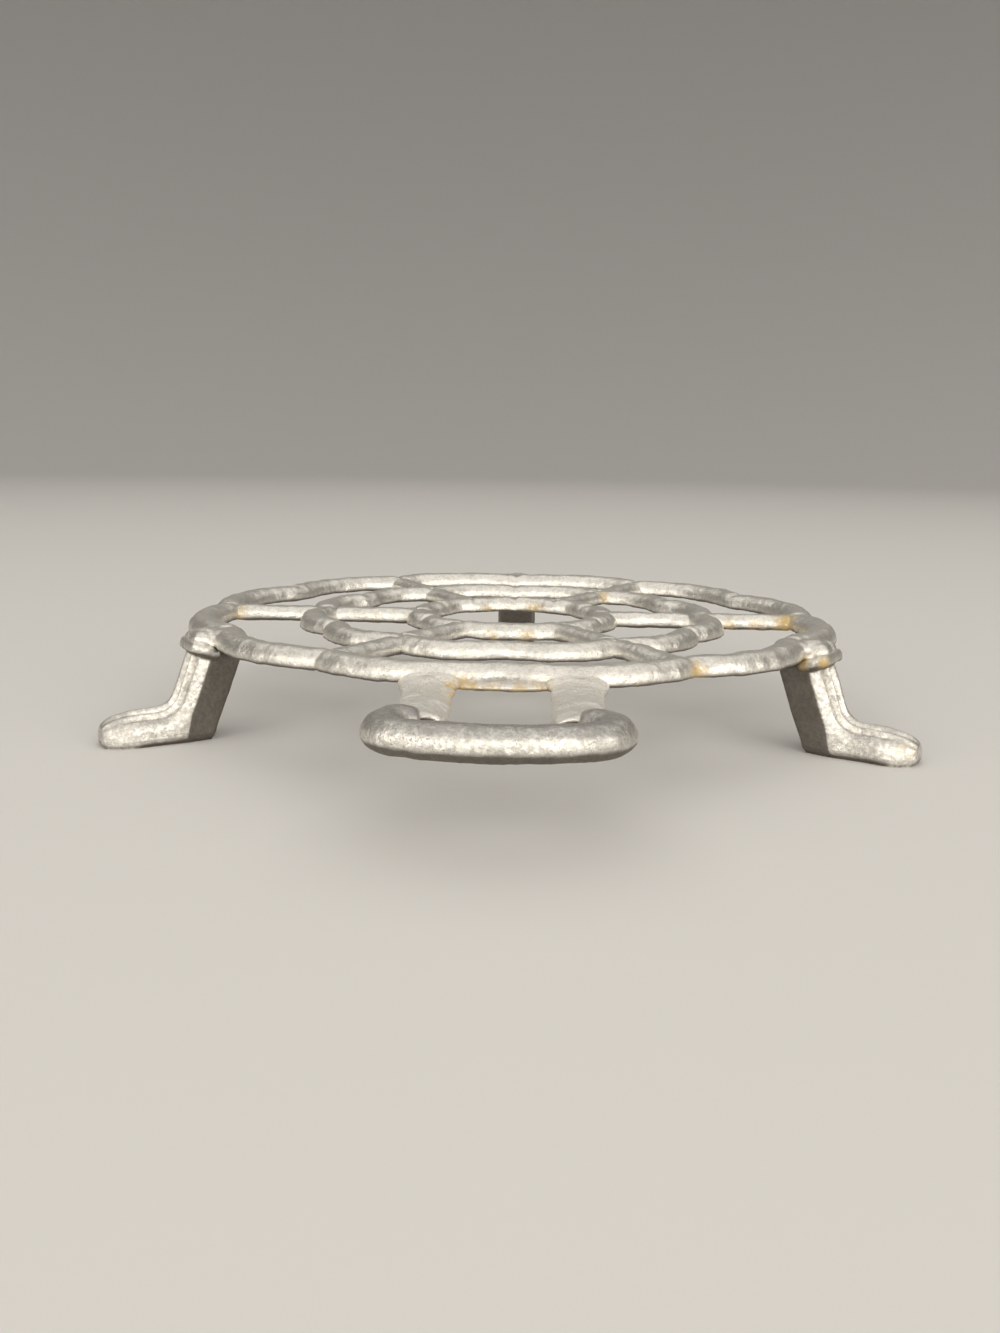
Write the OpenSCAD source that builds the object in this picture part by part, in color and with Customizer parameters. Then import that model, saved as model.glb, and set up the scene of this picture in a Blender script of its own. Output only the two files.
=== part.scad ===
// Round openwork trivet: three scalloped rings on six spokes, three fluted legs and a loop handle.
// Millimetres, +Z up. The origin is the middle of the footprint, on the table.
// The legs stand at the back and at the front corners, and the handle points to -Y.

/* [Grille] */
// Height of the bars' widest line above the table
grille_z = 19.8; // [18:0.1:40]
// Depth of a ring's bar below its widest line, under its half-round top
ring_depth = 0.5; // [0.4:0.05:1.5]
// Width of the crease across a ring's bar at every notch
crease = 0.4; // [0.2:0.05:0.8]
// Outer radius over the inner ring's lobes
inner_r = 25.3; // [22:0.1:30]
// Depth of the inner ring's notches
inner_notch = 0.9; // [0.4:0.1:1.2]
// Width of the inner ring's bar
inner_w = 6.2; // [5.6:0.1:7]
// Clear distance from the inner ring's lobes to the middle ring's lobes
inner_gap = 18.6; // [12:0.1:26]
// Depth of the middle ring's notches
middle_notch = 2.6; // [1:0.1:3.4]
// Width of the middle ring's bar
middle_w = 6.4; // [5.6:0.1:8]
// Clear distance from the middle ring's lobes to the rim's lobes
outer_gap = 17.7; // [12:0.1:26]
// Depth of the rim's notches
rim_notch = 3.3; // [1.5:0.1:5]
// Width of the rim's bar
rim_w = 7; // [6:0.1:9]
// Width of a spoke
spoke_w = 5.6; // [4:0.1:6]
// Depth of a spoke below its widest line, under its half-round top
spoke_depth = 0.3; // [0.1:0.05:0.4]

/* [Legs] */
// Distance of a leg's axis at its seat inside the rim's outer radius
seat_inset = 2.6; // [1.5:0.1:4]
// Depth of the middle of a leg's seat below the bars' widest line
seat_drop = 0.4; // [0:0.1:1.5]
// Outward lean of a leg, in degrees
leg_lean = 20; // [10:1:30]
// Radius of the boss that carries a leg
boss_r = 5.4; // [4.5:0.1:6.5]
// Height of the boss above the bars' widest line
boss_crown = 3.8; // [3.5:0.1:5]
// Radius of the boss's domed top
boss_dome_r = 9; // [7:0.5:14]
// Radius of the tenon that holds a leg in its boss
tenon_r = 2.2; // [1.5:0.1:3]
// Length of the tenon
tenon_l = 2.4; // [1.5:0.1:3]
// Thickness of the collar at the top of a leg
collar_h = 2; // [1:0.1:3]
// How far the collar stands out from the shin
collar_lip = 0.8; // [0.3:0.1:1.5]
// Corner radius of the collar
collar_corner_r = 2; // [1:0.1:3]
// Width of the shin's flat back half
shin_w = 11; // [9:0.1:13]
// Depth of the shin's flat back half
shin_back = 5.2; // [4:0.1:7]
// Depth of the shin behind its axis
shin_heel = 4.4; // [3:0.1:6]
// Radius of the ridge down the middle of the shin
ridge_r = 2.2; // [1.5:0.1:3]
// How far the middle ridge stands out from the flat half
ridge_out = 3.5; // [2:0.1:4.2]
// Radius of the ridges at the sides of the shin
side_ridge_r = 1.9; // [1.2:0.1:2.5]
// How far the side ridges stand out from the flat half
side_ridge_out = 2.7; // [1.5:0.1:3.5]
// Spacing of the ridges across the shin
ridge_step = 3.4; // [2.5:0.1:4.5]
// Distance of a toe in front of the shin's axis, on the table
toe_out = 17.2; // [14:0.1:24]
// Distance of the heel behind the shin's axis, on the table
heel_back = 3.9; // [3:0.1:5]
// Width of a foot
foot_w = 11.4; // [9:0.1:14]
// Height of a foot at the instep
foot_h = 7; // [5:0.1:9]
// Distance of the instep's highest line from the back of the foot
instep = 8.4; // [6:0.1:12]
// Radius of the instep's curve down to the toe
instep_r = 16.5; // [15:0.1:24]

/* [Handle] */
// Distance from the rim's outer radius to the front of the handle
handle_out = 36.8; // [32:0.1:50]
// Width over the handle's loop
loop_w = 43.6; // [38:0.1:56]
// Depth over the handle's loop, front to back
loop_d = 20.8; // [19:0.1:26]
// Width of the loop's bar
loop_bar_w = 7.2; // [6:0.1:8]
// Depth of the loop's bar below its widest line, under its half-round top
loop_depth = 1.2; // [0.8:0.1:2]
// How far the loop's widest line lies below the grille's
loop_drop = 2; // [0:0.1:4]
// Clear gap between the lugs
lug_gap = 17.2; // [15:0.1:22]
// Width of a lug
lug_w = 8.8; // [6:0.1:10]
// Height of a lug above its widest line
lug_crown = 2.4; // [1.5:0.1:2.8]
// Depth of a lug below its widest line
lug_depth = 0.3; // [0.1:0.05:0.4]
// How far the loop's tips reach past the lugs into the gap
tip_over = 0.3; // [0.1:0.1:1]
// Depth of a lug's seat in the rim, from the rim's outer radius
lug_rim_seat = 3; // [2.6:0.1:4]
// Depth of a lug's seat in the loop, from the loop's back edge
lug_loop_seat = 2.5; // [2:0.1:3.5]

/* [Fits] */
// Depth of the pocket that takes the end of a spoke
spoke_let_in = 1.5; // [1:0.1:2]
// Clearance at each side of a spoke or lug in its pocket
pocket_gap = 0.1; // [0.05:0.01:0.3]
// Clearance round a tenon in its socket, on the radius
socket_gap = 0.1; // [0.05:0.01:0.3]
// Clearance between the end of a tenon and its socket
socket_end_gap = 0.3; // [0.1:0.05:0.6]

/* [Hidden] */
lobe_count = 12;
spoke_count = 6;
leg_count = 3;
spoke_sides = ["right", "back_right", "back_left", "left", "front_left", "front_right"];
leg_sides = ["back", "front_left", "front_right"];
lug_sides = ["left", "right"];
outer_spokes = [for (side = spoke_sides) str("outer_spoke_", side)];
inner_spokes = [for (side = spoke_sides) str("inner_spoke_", side)];
legs = [for (side = leg_sides) str("leg_", side)];
lugs = [for (side = lug_sides) str("handle_lug_", side)];
rings = ["outer_rim", "middle_ring", "inner_ring"];

// Smoothness of the round stretches
$fn = 96;
// Overrun of every cut
cut_over = 1;
lobe_step = 360 / lobe_count;
lobe_half = lobe_step / 2;
spoke_step = 360 / spoke_count;
leg_step = 360 / leg_count;
first_leg = 90;
// Share of the room inside a ring's lobes that its core fills
core_share = 0.9;
// Share of a lug's width that is left at its underside
lug_bottom_share = 0.8;
// Share of a lug's width that is flat on top
lug_top_share = 0.5;

// The rings lie round each other from the inside outwards
middle_r = inner_r + inner_gap + middle_w;
rim_r = middle_r + outer_gap + rim_w;
// A leg leans outwards from its seat under the rim
seat_r = rim_r - seat_inset;
seat_z = grille_z - seat_drop;
axis_foot_r = seat_r + seat_z * tan(leg_lean);
toe_reach = axis_foot_r + toe_out;
heel_reach = axis_foot_r - heel_back;
handle_reach = rim_r + handle_out;
// The footprint's middle lies between the handle's front and the back toe
web_y = (handle_reach - toe_reach) / 2;

silver = "#c9c6bd";
pale_silver = "#d8d5cb";
dull_silver = "#b3b0a8";

// Bars
// A round bar's section, cut off flat a little below its middle line on the X axis
module bar_section(w, depth) {
    intersection() {
        circle(d = w);
        translate([-w, -depth]) square(2 * w);
    }
}

// A flat-topped bar's section with bevelled sides
module bevel_section(w, crown, depth) {
    top = w / 2 * lug_top_share;
    bottom = w / 2 * lug_bottom_share;
    polygon([[-bottom, -depth], [bottom, -depth], [w / 2, 0], [top, crown], [-top, crown], [-w / 2, 0]]);
}

// A straight bar of a section along +X from start to end, at the height of the origin
module straight_bar(start, end) {
    translate([start, 0, 0])
        rotate([90, 0, 90])
            linear_extrude(end - start)
                children();
}

// A round bend of half-round bar, turned to both sides of +X
module bend(middle_line_r, turn, w, depth) {
    rotate([0, 0, -turn])
        rotate_extrude(angle = 2 * turn)
            translate([middle_line_r, 0])
                bar_section(w, depth);
}

// Rings
// Distance from the middle of a ring to the middle of a lobe's arc
function lobe_offset(r, notch) =
    (r * r - pow(r - notch, 2)) / (2 * (r - (r - notch) * cos(lobe_half)));

// Radius at a notch of a ring's inner edge
function inner_cusp(r, notch, w) =
    let (offset_r = lobe_offset(r, notch))
        offset_r * cos(lobe_half) + sqrt(pow(r - offset_r - w, 2) - pow(offset_r * sin(lobe_half), 2));

// One lobe on the +X axis, cut off at the creases beside it
module lobe(r, notch, w) {
    offset_r = lobe_offset(r, notch);
    apex = [crease / 2 / sin(lobe_half), 0];
    reach = 2 * r;
    intersection() {
        translate([offset_r, 0, grille_z])
            bend(r - offset_r - w / 2, 90, w, ring_depth);
        translate([0, 0, grille_z - w])
            linear_extrude(2 * w)
                polygon([
                    apex,
                    apex + reach * [cos(lobe_half), -sin(lobe_half)],
                    apex + reach * [cos(lobe_half), sin(lobe_half)]
                ]);
    }
}

// A ring's lobes, and the plain ring inside them that runs on through the creases
module ring(r, notch, w) {
    core_w = (w - notch) * core_share;
    for (i = [0 : lobe_count - 1])
        rotate([0, 0, (i + 0.5) * lobe_step]) lobe(r, notch, w);
    translate([0, 0, grille_z])
        rotate_extrude()
            translate([r - (w + notch) / 2, 0])
                bar_section(core_w, ring_depth * core_share);
}

// Where a spoke's end stands in a ring, on the ring's outer side and on its inner side
function outer_seat(r, notch) = r - notch - spoke_let_in;
function inner_seat(r, notch, w) = inner_cusp(r, notch, w) + spoke_let_in;

// Upright pockets for the ends of the spokes, between two radii
module spoke_pockets(start, end, w) {
    side = spoke_w + 2 * pocket_gap;
    for (i = [0 : spoke_count - 1])
        rotate([0, 0, i * spoke_step])
            translate([start, -side / 2, grille_z - ring_depth - cut_over])
                cube([end - start, side, ring_depth + w / 2 + 2 * cut_over]);
}

module outer_pockets(r, notch, w) {
    spoke_pockets(outer_seat(r, notch), r + cut_over, w);
}

module inner_pockets(r, notch, w) {
    spoke_pockets(inner_cusp(r, notch, w) - cut_over, inner_seat(r, notch, w), w);
}

module on_web() {
    translate([0, web_y, 0]) children();
}

module at_leg(i) {
    rotate([0, 0, first_leg + i * leg_step]) children();
}

// A leg's own frame: its seat is the XY plane, +Z runs up the leg and +X points outwards
module on_leg_axis() {
    translate([seat_r, 0, seat_z])
        rotate([0, -leg_lean, 0])
            children();
}

// A domed post at a notch of the rim, over a leg's seat
module boss() {
    top = grille_z + boss_crown;
    depth = top - seat_z + boss_r * tan(leg_lean);
    intersection() {
        translate([seat_r, 0, top - depth]) cylinder(r = boss_r, h = depth);
        translate([seat_r, 0, top - boss_dome_r]) sphere(r = boss_dome_r);
    }
}

// Everything below a leg's seat, and the blind socket above it
module seat_cut() {
    side = 2 * (max(boss_r / cos(leg_lean), shin_w / 2 + collar_lip) + cut_over);
    on_leg_axis() {
        translate([-side / 2, -side / 2, -side]) cube(side);
        translate([0, 0, -cut_over])
            cylinder(r = tenon_r + socket_gap, h = cut_over + tenon_l + socket_end_gap);
    }
}

module outer_rim() {
    color(silver)
        on_web()
            difference() {
                union() {
                    ring(rim_r, rim_notch, rim_w);
                    for (i = [0 : leg_count - 1]) at_leg(i) boss();
                }
                for (i = [0 : leg_count - 1]) at_leg(i) seat_cut();
                inner_pockets(rim_r, rim_notch, rim_w);
                lug_pockets(rim_seat_y, rim_r + cut_over, 0);
            }
}

module middle_ring() {
    color(silver)
        on_web()
            difference() {
                ring(middle_r, middle_notch, middle_w);
                outer_pockets(middle_r, middle_notch, middle_w);
                inner_pockets(middle_r, middle_notch, middle_w);
            }
}

module inner_ring() {
    color(silver)
        on_web()
            difference() {
                ring(inner_r, inner_notch, inner_w);
                outer_pockets(inner_r, inner_notch, inner_w);
            }
}

// Spokes
// A straight bar at the given angle, standing in the pockets of the rings that it joins
module spoke(angle, start, end) {
    color(pale_silver)
        on_web()
            rotate([0, 0, angle])
                translate([0, 0, grille_z])
                    straight_bar(start, end) bar_section(spoke_w, spoke_depth);
}

module outer_spoke(i) {
    spoke(i * spoke_step, outer_seat(middle_r, middle_notch), inner_seat(rim_r, rim_notch, rim_w));
}

module inner_spoke(i) {
    spoke(i * spoke_step, outer_seat(inner_r, inner_notch), inner_seat(middle_r, middle_notch, middle_w));
}

// Legs
module rounded_plate(x, y, corner_r) {
    square([x - 2 * corner_r, y], center = true);
    square([x, y - 2 * corner_r], center = true);
    for (side = [-1, 1], end = [-1, 1])
        translate([side * (x / 2 - corner_r), end * (y / 2 - corner_r)]) circle(r = corner_r);
}

// The shin across its axis: a flat back half and three ridges in front
module shin_section() {
    face = shin_back - shin_heel;
    translate([-shin_heel, -shin_w / 2]) square([shin_back, shin_w]);
    translate([face + ridge_out - ridge_r, 0]) circle(r = ridge_r);
    for (side = [-1, 1])
        translate([face + side_ridge_out - side_ridge_r, side * ridge_step]) circle(r = side_ridge_r);
}

module collar() {
    front = shin_back - shin_heel + ridge_out;
    depth = front + shin_heel;
    translate([front - depth / 2, 0, -collar_h])
        linear_extrude(collar_h)
            rounded_plate(depth + 2 * collar_lip, shin_w + 2 * collar_lip, collar_corner_r);
}

// A shoe-shaped foot with a round toe, on +X
module foot() {
    toe_r = foot_w / 2;
    intersection() {
        linear_extrude(foot_h) {
            translate([heel_reach, -toe_r]) square([toe_reach - heel_reach - toe_r, foot_w]);
            translate([toe_reach - toe_r, 0]) circle(r = toe_r);
        }
        translate([0, toe_r + cut_over, 0])
            rotate([90, 0, 0])
                linear_extrude(foot_w + 2 * cut_over)
                    intersection() {
                        translate([heel_reach, 0]) square([toe_reach - heel_reach, foot_h]);
                        union() {
                            translate([heel_reach + instep, foot_h - instep_r]) circle(r = instep_r);
                            translate([heel_reach, 0]) square([instep, foot_h]);
                        }
                    }
    }
}

module leg(i) {
    reach = 2 * seat_z;
    color(dull_silver)
        on_web()
            at_leg(i) {
                on_leg_axis() {
                    collar();
                    cylinder(r = tenon_r, h = tenon_l);
                }
                intersection() {
                    on_leg_axis()
                        translate([0, 0, -reach]) linear_extrude(reach - collar_h / 2) shin_section();
                    translate([0, -reach, 0]) cube([toe_reach, 2 * reach, reach]);
                }
                foot();
            }
}

// Handle
loop_z = grille_z - loop_drop;
bend_r = loop_d / 2 - loop_bar_w / 2;
bend_x = loop_w / 2 - loop_d / 2;
loop_y = handle_reach - loop_d / 2;
loop_back_y = handle_reach - loop_d;
tip_x = lug_gap / 2 - tip_over;
lug_x = lug_gap / 2 + lug_w / 2;
// A lug slopes down from its seat in the rim to its seat in the loop
rim_seat_y = rim_r - lug_rim_seat;
loop_seat_y = loop_back_y + lug_loop_seat;
lug_run = loop_seat_y - rim_seat_y;
lug_slope = atan(loop_drop / lug_run);

// Upright pockets for the ends of the lugs, from near to far along -Y, opened towards the gap by inward
module lug_pockets(near, far, inward) {
    side = lug_w + 2 * pocket_gap + inward;
    height = 2 * (loop_drop + loop_bar_w + rim_w);
    for (end = [-1, 1])
        translate([end * (lug_x - inward / 2) - side / 2, -far, grille_z - height / 2])
            cube([side, far - near, height]);
}

// The loop's bar, bent round at both ends and left open between the lugs
module loop_bar() {
    translate([0, -loop_y, loop_z]) {
        translate([0, -bend_r, 0])
            straight_bar(-bend_x, bend_x) bar_section(loop_bar_w, loop_depth);
        for (side = [0, 1])
            mirror([side, 0, 0]) {
                translate([bend_x, 0, 0])
                    bend(bend_r, 90, loop_bar_w, loop_depth);
                translate([0, bend_r, 0])
                    straight_bar(tip_x, bend_x) bar_section(loop_bar_w, loop_depth);
            }
    }
}

module handle_loop() {
    color(silver)
        on_web()
            difference() {
                loop_bar();
                lug_pockets(loop_back_y - cut_over, loop_seat_y, tip_over + cut_over);
            }
}

// A sloping lug, cut off upright at both of its seats
module handle_lug(i) {
    side = 2 * i - 1;
    height = 2 * (loop_drop + lug_crown + lug_depth);
    color(pale_silver)
        on_web()
            intersection() {
                translate([side * lug_x, -rim_seat_y, grille_z])
                    rotate([0, 0, -90])
                        rotate([0, lug_slope, 0])
                            straight_bar(-cut_over, lug_run / cos(lug_slope) + cut_over)
                                bevel_section(lug_w, lug_crown, lug_depth);
                translate([side * lug_x - lug_w, -loop_seat_y, grille_z - height])
                    cube([2 * lug_w, lug_run, 2 * height]);
            }
}

outer_rim();
middle_ring();
inner_ring();
for (i = [0 : spoke_count - 1]) {
    outer_spoke(i);
    inner_spoke(i);
}
for (i = [0 : leg_count - 1])
    leg(i);
for (i = [0 : len(lug_sides) - 1])
    handle_lug(i);
handle_loop();
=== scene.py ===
import math

import bmesh
import bpy
import numpy as np
from mathutils import Euler, Matrix, Vector
from mathutils.kdtree import KDTree


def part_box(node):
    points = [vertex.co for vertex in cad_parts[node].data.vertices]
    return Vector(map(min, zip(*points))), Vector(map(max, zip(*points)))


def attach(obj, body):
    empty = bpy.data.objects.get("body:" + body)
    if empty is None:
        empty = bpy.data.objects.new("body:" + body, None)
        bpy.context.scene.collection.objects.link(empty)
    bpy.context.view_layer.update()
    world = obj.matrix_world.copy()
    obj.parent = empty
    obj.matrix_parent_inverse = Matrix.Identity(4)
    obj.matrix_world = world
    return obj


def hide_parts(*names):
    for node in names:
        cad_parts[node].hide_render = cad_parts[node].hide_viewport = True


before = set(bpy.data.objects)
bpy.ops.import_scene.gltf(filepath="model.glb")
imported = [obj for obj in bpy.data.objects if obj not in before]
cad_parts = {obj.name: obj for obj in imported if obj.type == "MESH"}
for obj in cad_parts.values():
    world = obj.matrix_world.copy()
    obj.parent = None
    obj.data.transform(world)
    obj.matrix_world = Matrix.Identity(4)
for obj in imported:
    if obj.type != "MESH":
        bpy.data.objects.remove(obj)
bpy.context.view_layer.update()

MM = 0.001
# Points nearer than this count as one place
TOUCH = 0.01 * MM
LOBES = 12
HALF_LOBE = math.pi / LOBES
SPOKE_ANGLES = {
    "right": 0,
    "back_right": 60,
    "back_left": 120,
    "left": 180,
    "front_left": 240,
    "front_right": 300,
}
LEG_ANGLES = {"back": 90, "front_left": 210, "front_right": 330}

# The middle of the grille, on the bars' widest line
ring_low, ring_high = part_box("inner_ring")
RING_DEPTH = 0.5 * MM
WEB = Vector((0, (ring_low.y + ring_high.y) / 2, ring_low.z + RING_DEPTH))

# Outer radius, notch depth and bar width of the three rings
RIM = {"outer_r": 75 * MM, "notch": 3.3 * MM, "width": 7 * MM}
MIDDLE = {"outer_r": 50.3 * MM, "notch": 2.6 * MM, "width": 6.4 * MM}
INNER = {"outer_r": 25.3 * MM, "notch": 0.9 * MM, "width": 6.2 * MM}

# A bar's control outline shrinks a little under subdivision, so it starts this much larger
BAR_SIDES = 16
ROUND_GROW = 3 / (2 + math.cos(2 * math.pi / BAR_SIDES))
# The shares of a round bar's height between which its shoulders lie
SHOULDER_FROM = 0.3
SHOULDER_TO = 0.95


# Modelling helpers
def deselect_all():
    bpy.ops.object.select_all(action="DESELECT")


def make_active(piece):
    deselect_all()
    bpy.context.view_layer.objects.active = piece
    piece.select_set(True)


def edit(piece):
    make_active(piece)
    bpy.ops.object.mode_set(mode="EDIT")


def leave_edit():
    bpy.ops.object.mode_set(mode="OBJECT")


def name_new(name):
    """Give the object just added its name, and bake its place into its mesh."""
    piece = bpy.context.object
    piece.name = name
    piece.data.name = name
    bpy.ops.object.transform_apply(location=True, rotation=True, scale=True)
    return piece


def select_verts(test):
    """Select the vertices of the mesh in edit mode whose place passes a test."""
    bpy.ops.mesh.select_mode(type="VERT")
    bpy.ops.mesh.select_all(action="DESELECT")
    mesh = bmesh.from_edit_mesh(bpy.context.object.data)
    for vert in mesh.verts:
        vert.select_set(test(vert.co))
    mesh.select_flush(True)
    bmesh.update_edit_mesh(bpy.context.object.data)


def resize(factors, centre):
    bpy.ops.transform.resize(value=factors, center_override=centre, orient_type="GLOBAL")


def extrude(offset):
    bpy.ops.mesh.extrude_region_move(TRANSFORM_OT_translate={"value": offset, "orient_type": "GLOBAL"})


def spin(centre, angle, steps, axis=(0, 0, 1)):
    """Sweep the selected outline round an axis; a positive angle turns by the right-hand rule."""
    bpy.ops.mesh.spin(steps=steps, angle=-angle, center=centre, axis=axis, use_auto_merge=False)


def cap_open_ends():
    bpy.ops.mesh.select_all(action="SELECT")
    bpy.ops.mesh.region_to_loop()
    bpy.ops.mesh.edge_face_add()


def apply_modifier(piece, kind, **settings):
    make_active(piece)
    modifier = piece.modifiers.new(kind.lower(), kind)
    for key, value in settings.items():
        setattr(modifier, key, value)
    bpy.ops.object.modifier_apply(modifier=modifier.name)


def subdivide_surface(piece, levels):
    apply_modifier(piece, "SUBSURF", levels=levels, render_levels=levels)


def join(piece, others):
    make_active(piece)
    for other in others:
        other.select_set(True)
    bpy.ops.object.join()
    return piece


def turned_copy(piece, name, degrees):
    """A copy with its own mesh, turned about the upright line through the middle of the grille."""
    copy = piece.copy()
    copy.data = piece.data.copy()
    copy.name = name
    copy.data.name = name
    bpy.context.collection.objects.link(copy)
    turn = Matrix.Rotation(math.radians(degrees), 4, "Z")
    copy.data.transform(Matrix.Translation(WEB) @ turn @ Matrix.Translation(-WEB))
    return copy


def make_faces_point_out(piece):
    edit(piece)
    bpy.ops.mesh.select_all(action="SELECT")
    bpy.ops.mesh.normals_make_consistent(inside=False)
    leave_edit()


def around(centre, radius, angle):
    return centre + Vector((radius * math.cos(angle), radius * math.sin(angle), 0))


def bar_outline(name, place, heading, width, crown, depth, shoulder):
    """The half-round outline of a bar, standing across its run, left selected in edit mode."""
    deselect_all()
    bpy.ops.mesh.primitive_circle_add(
        vertices=BAR_SIDES,
        radius=width / 2 * ROUND_GROW,
        location=place,
        rotation=(math.pi / 2, 0, heading),
    )
    piece = name_new(name)
    edit(piece)
    select_verts(lambda co: SHOULDER_FROM < (co - place).z / (width / 2) < SHOULDER_TO)
    resize((shoulder,) * 3, place)
    select_verts(lambda co: co.z > place.z + TOUCH)
    resize((1, 1, crown * 2 / width), place)
    select_verts(lambda co: co.z < place.z - TOUCH)
    resize((1, 1, depth * 2 / width), place)
    bpy.ops.mesh.select_all(action="SELECT")
    return piece


def crease_edges(test, sharpness):
    """Keep edges crisp under subdivision where both of their ends pass a test."""
    bpy.ops.mesh.select_mode(type="EDGE")
    bpy.ops.mesh.select_all(action="DESELECT")
    mesh = bmesh.from_edit_mesh(bpy.context.object.data)
    for edge in mesh.edges:
        edge.select_set(test(edge.verts[0].co) and test(edge.verts[1].co))
    bmesh.update_edit_mesh(bpy.context.object.data)
    bpy.ops.transform.edge_crease(value=sharpness)
    bpy.ops.mesh.select_mode(type="VERT")


# Rings
NOTCH_HOLLOW_R = 0.7 * MM
NOTCH_PINCH = 0.85
NOTCH_CREASE = 0.35
# The valley at the front is almost plain
PLAIN_NOTCH = 270
PLAIN_PINCH = 0.98
# How much of the bar's width lies between a valley's hollow and the point that the pinch leaves in place
PINCH_REACH = 0.8
PARTING_CREASE = 0.4
RING_SHOULDER = 1.07
LOBE_STEPS = 8


def lobed_ring(name, outer_r, notch, width):
    """A half-round bar swept round lobes, which meet in creased valleys."""
    hollow_at = outer_r - notch + NOTCH_HOLLOW_R
    reach = outer_r + NOTCH_HOLLOW_R
    lobe_at = (reach**2 - hollow_at**2) / (2 * (reach - hollow_at * math.cos(HALF_LOBE)))
    turn = math.atan2(hollow_at * math.sin(HALF_LOBE), hollow_at * math.cos(HALF_LOBE) - lobe_at)
    bar_r = outer_r - lobe_at - width / 2
    start = around(around(WEB, lobe_at, HALF_LOBE), bar_r, HALF_LOBE - turn)
    piece = bar_outline(name, start, HALF_LOBE - turn, width, width / 2, RING_DEPTH, RING_SHOULDER)
    pinch_from = NOTCH_HOLLOW_R + width * PINCH_REACH
    for i in range(LOBES):
        angle = (2 * i + 1) * HALF_LOBE
        notch_angle = angle + HALF_LOBE
        lobe = around(WEB, lobe_at, angle)
        hollow = around(WEB, hollow_at, notch_angle)
        spin(lobe, 2 * turn, LOBE_STEPS)
        pinch = PLAIN_PINCH if round(math.degrees(notch_angle)) == PLAIN_NOTCH else NOTCH_PINCH
        spin(hollow, HALF_LOBE - turn, 1)
        resize((pinch,) * 3, around(hollow, pinch_from, notch_angle + math.pi))
        bpy.ops.transform.edge_crease(value=NOTCH_CREASE)
        spin(hollow, HALF_LOBE - turn, 1)
        resize((1 / pinch,) * 3, around(hollow, pinch_from, notch_angle + math.pi + HALF_LOBE - turn))
    bpy.ops.mesh.select_all(action="SELECT")
    bpy.ops.mesh.remove_doubles(threshold=TOUCH)
    crease_edges(lambda co: abs(co.z - WEB.z) < TOUCH, PARTING_CREASE)
    leave_edit()
    make_faces_point_out(piece)
    return piece


# The legs' bosses swell out of the rim
SEAT_R = 72.4 * MM
SEAT_Z = 19.4 * MM
LEAN = math.radians(20)


def boss_lump(place, radii, tilt):
    """A rounded swelling that the rim is fused with."""
    deselect_all()
    bpy.ops.mesh.primitive_uv_sphere_add(segments=24, ring_count=14, radius=1, location=place)
    bpy.context.object.scale = radii
    bpy.context.object.rotation_euler = (0, tilt, 0)
    return name_new("boss_lump")


# Lumps of a boss: place from the seat and radii, in mm, and tilt as a share of the leg's lean
BOSS_LUMPS = (
    ((-0.3, 0.0, 1.4), (4.6, 4.8, 2.4), 0.5),
    ((0.3, 0.0, 0.3), (4.5, 5.3, 1.8), 1.0),
    ((2.5, 2.6, 1.5), (2.3, 2.5, 2.0), 0.5),
    ((2.7, -2.2, 1.3), (2.4, 2.5, 2.1), 0.5),
    ((-1.2, 3.4, 1.8), (2.3, 2.2, 1.9), 0.0),
    ((-1.0, -3.6, 1.7), (2.4, 2.1, 1.9), 0.0),
)
# Swollen roots of the lugs, and a low web between them: place from the middle of the grille and radii, in mm
FRONT_SWELLINGS = (
    ((-13, -73.5, 0.0), (5.2, 3.3, 1.95)),
    ((13, -73.5, 0.0), (5.2, 3.3, 1.95)),
    ((0, -72.6, -0.1), (12, 2.9, 1.0)),
)


def rim_with_bosses():
    """The rim with a lumpy boss over each leg, and swellings where the lugs run out of it."""
    rim = lobed_ring("rim_casting", **RIM)
    subdivide_surface(rim, 2)
    seat = Vector((WEB.x + SEAT_R, WEB.y, SEAT_Z))
    lumps = [
        boss_lump(seat + Vector(place) * MM, Vector(radii) * MM, -LEAN * tilt)
        for place, radii, tilt in BOSS_LUMPS
    ]
    boss = join(lumps[0], lumps[1:])
    swellings = [turned_copy(boss, f"boss_{side}", angle) for side, angle in LEG_ANGLES.items()]
    bpy.data.objects.remove(boss)
    for place, radii in FRONT_SWELLINGS:
        swellings.append(boss_lump(WEB + Vector(place) * MM, Vector(radii) * MM, 0))
    return join(rim, swellings)


# Spokes
SPOKE_W = 5.6 * MM
SPOKE_CROWN = 2.8 * MM
SPOKE_DEPTH = 0.6 * MM
SPOKE_SHOULDER = 1.1
SPOKE_LIFT = 1.05
SPOKE_ENDS = {"outer": (45.4 * MM, 66.6 * MM), "inner": (22.2 * MM, 42.8 * MM)}
# Distance from an end, in mm, and width share of a spoke's flares
SPOKE_FLARES = ((1.7, 1.22), (2.6, 1.08), (4.2, 1.0), (7.5, 0.96))


def spoke(name, start, end):
    """A straight bar along +X that flares where it runs into the rings."""
    inner = WEB + Vector((start, 0, 0))
    piece = bar_outline(name, inner, math.pi / 2, SPOKE_W, SPOKE_CROWN, SPOKE_DEPTH, SPOKE_SHOULDER)
    length = end - start
    stations = [(along * MM, share) for along, share in SPOKE_FLARES]
    stations += [(length - along, share) for along, share in reversed(stations)]
    stations.append((length, SPOKE_FLARES[0][1]))
    before = 0
    width = SPOKE_FLARES[0][1]
    resize((1, width, SPOKE_LIFT), inner)
    for along, share in stations:
        extrude((along - before, 0, 0))
        resize((1, share / width, 1), inner + Vector((along, 0, 0)))
        before = along
        width = share
    crease_edges(lambda co: abs(co.z - WEB.z) < TOUCH, PARTING_CREASE)
    cap_open_ends()
    leave_edit()
    make_faces_point_out(piece)
    subdivide_surface(piece, 3)
    return piece


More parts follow.
